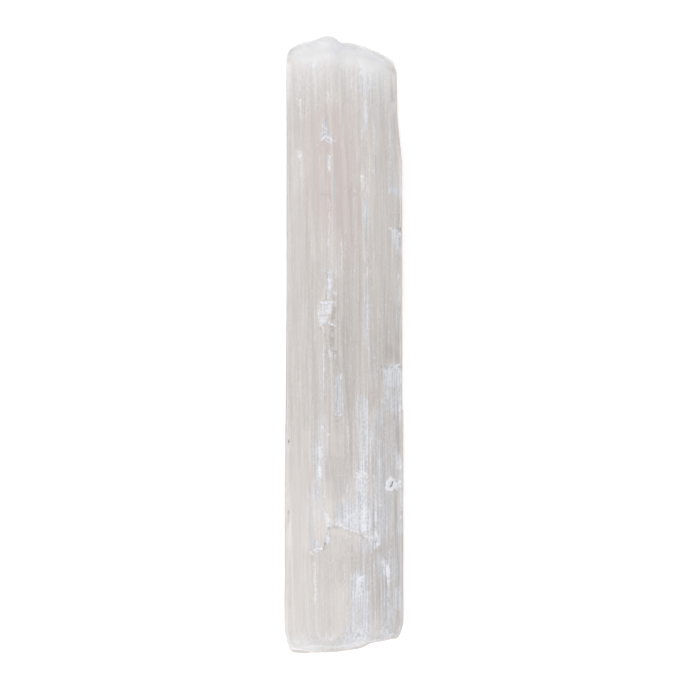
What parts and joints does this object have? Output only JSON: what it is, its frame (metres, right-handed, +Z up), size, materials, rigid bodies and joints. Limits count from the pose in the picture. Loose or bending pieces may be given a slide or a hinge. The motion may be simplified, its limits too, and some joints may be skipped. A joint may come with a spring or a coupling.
{
  "type": "selenite stick",
  "caption": "Raw stick of fibrous satin-spar selenite with worn ends and split faces, lying on a flat side for display or carving.",
  "frame": {"origin": "centre of the bounding box in X and Y, on the flat split face that the stick lies on", "axes": "+Y along the fibres towards the sloping end, +X across the stick to the right, +Z up out of the face that is looked at"},
  "size_m": [0.0292, 0.15, 0.021],
  "materials": {
    "satin_spar": "pearly, fine-fibred and slightly see-through, streaked along the fibres, with powdery white bruises on the breaks"
  },
  "bodies": {
    "root": {"selenite_stick": "satin_spar"}
  },
  "joints": []
}
